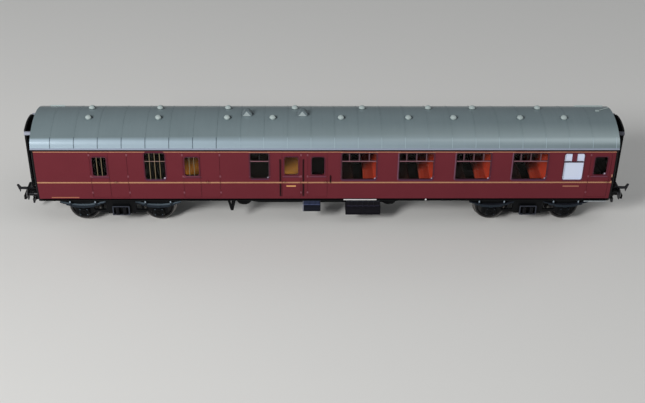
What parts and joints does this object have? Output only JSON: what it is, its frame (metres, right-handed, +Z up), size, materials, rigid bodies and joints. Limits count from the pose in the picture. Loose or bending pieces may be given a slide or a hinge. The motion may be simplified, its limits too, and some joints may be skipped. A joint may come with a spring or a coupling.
{
  "type": "model railway brake coach",
  "caption": "Gangwayed brake passenger coach of a model railway, on swivelling bogies with spinning wheelsets and lifting coupling hooks.",
  "frame": {"origin": "centre of the coach in plan, on the floor under the wheel flanges", "axes": "+X along the coach towards the vestibule end, +Y towards the corridor side, +Z up"},
  "size_m": [0.2852, 0.0374, 0.0528],
  "materials": {
    "maroon_body": "satin maroon with lining",
    "black_end": "satin black",
    "roof_grey": "satin grey",
    "clear_glazing": "clear moulded",
    "window_frame": "satin",
    "brass_bars": "painted brass",
    "black_trim": "satin black",
    "pale_bracket": "satin pale grey",
    "ballast_steel": "plain steel strip",
    "floor_tan": "moulded tan",
    "partition_brown": "moulded brown",
    "seat_red": "moulded orange red",
    "blue_box": "gloss dark blue",
    "screw_steel": "turned",
    "underframe_black": "moulded black",
    "gangway_black": "moulded black",
    "spring_grey": "dark blue grey",
    "bogie_black": "moulded black",
    "coupling_black": "moulded black",
    "hook_steel": "blackened pressed steel",
    "wheel_dark": "blackened rim",
    "axle_steel": "turned",
    "buffer_dark": "blackened"
  },
  "bodies": {
    "coach_body": {"ballast_weight": "ballast_steel", "battery_box": "underframe_black", "body_side_compartment": "maroon_body", "body_side_corridor": "maroon_body", "brake_hangers": "underframe_black", "buffers": "buffer_dark", "compartment_partitions": "partition_brown", "compartment_seats": "seat_red", "corridor_partition": "partition_brown", "door_handles": "brass_bars", "door_handrails": "black_trim", "dynamo": "underframe_black", "end_brake": "black_end", "end_steps": "black_trim", "end_vestibule": "black_end", "floor_pan": "underframe_black", "footboards": "underframe_black", "gangway_brackets": "pale_bracket", "gangway_brake": "gangway_black", "gangway_vestibule": "gangway_black", "glazing_compartment_side": "clear_glazing", "glazing_corridor_side": "clear_glazing", "guard_partitions": "partition_brown", "headstocks": "underframe_black", "interior_floor": "floor_tan", "luggage_window_bars": "brass_bars", "periscope_hoods": "roof_grey", "pivot_blocks": "underframe_black", "pivot_screws": "screw_steel", "regulator_box": "blue_box", "roof": "roof_grey", "roof_filler": "roof_grey", "roof_rain_strips": "roof_grey", "roof_ventilators": "roof_grey", "solebars": "underframe_black", "truss_frames": "underframe_black", "vacuum_cylinders": "underframe_black", "vent_frames_compartment_side": "window_frame", "vent_frames_corridor_side": "window_frame"},
    "bogie_brake": {"bogie_frame_brake": "bogie_black", "bogie_springs_brake": "spring_grey", "bogie_brakes_brake": "bogie_black", "coupling_bar_brake": "coupling_black"},
    "wheelset_brake_outer": {"wheels_brake_outer": "wheel_dark", "axle_brake_outer": "axle_steel"},
    "wheelset_brake_inner": {"wheels_brake_inner": "wheel_dark", "axle_brake_inner": "axle_steel"},
    "hook_brake": {"coupling_hook_brake": "hook_steel"},
    "bogie_vestibule": {"bogie_frame_vestibule": "bogie_black", "bogie_springs_vestibule": "spring_grey", "bogie_brakes_vestibule": "bogie_black", "coupling_bar_vestibule": "coupling_black"},
    "wheelset_vestibule_outer": {"wheels_vestibule_outer": "wheel_dark", "axle_vestibule_outer": "axle_steel"},
    "wheelset_vestibule_inner": {"wheels_vestibule_inner": "wheel_dark", "axle_vestibule_inner": "axle_steel"},
    "hook_vestibule": {"coupling_hook_vestibule": "hook_steel"}
  },
  "joints": [
    {"name": "bogie_brake_swivel", "type": "hinge", "parent": "coach_body", "child": "bogie_brake", "pos_m": [-0.093, 0, 0.0117], "axis": [0, 0, 1], "range_deg": [-12, 12]},
    {"name": "wheelset_brake_outer_spin", "type": "hinge", "parent": "bogie_brake", "child": "wheelset_brake_outer", "pos_m": [-0.11, 0, 0.0078], "axis": [0, 1, 0], "continuous": true},
    {"name": "wheelset_brake_inner_spin", "type": "hinge", "parent": "bogie_brake", "child": "wheelset_brake_inner", "pos_m": [-0.076, 0, 0.0078], "axis": [0, 1, 0], "continuous": true},
    {"name": "hook_brake_lift", "type": "hinge", "parent": "bogie_brake", "child": "hook_brake", "pos_m": [-0.1312, 0, 0.0112], "axis": [0, 1, 0], "range_deg": [0, 15]},
    {"name": "bogie_vestibule_swivel", "type": "hinge", "parent": "coach_body", "child": "bogie_vestibule", "pos_m": [0.093, 0, 0.0117], "axis": [0, 0, 1], "range_deg": [-12, 12]},
    {"name": "wheelset_vestibule_outer_spin", "type": "hinge", "parent": "bogie_vestibule", "child": "wheelset_vestibule_outer", "pos_m": [0.11, 0, 0.0078], "axis": [0, 1, 0], "continuous": true},
    {"name": "wheelset_vestibule_inner_spin", "type": "hinge", "parent": "bogie_vestibule", "child": "wheelset_vestibule_inner", "pos_m": [0.076, 0, 0.0078], "axis": [0, 1, 0], "continuous": true},
    {"name": "hook_vestibule_lift", "type": "hinge", "parent": "bogie_vestibule", "child": "hook_vestibule", "pos_m": [0.1312, 0, 0.0112], "axis": [0, -1, 0], "range_deg": [0, 15]}
  ]
}
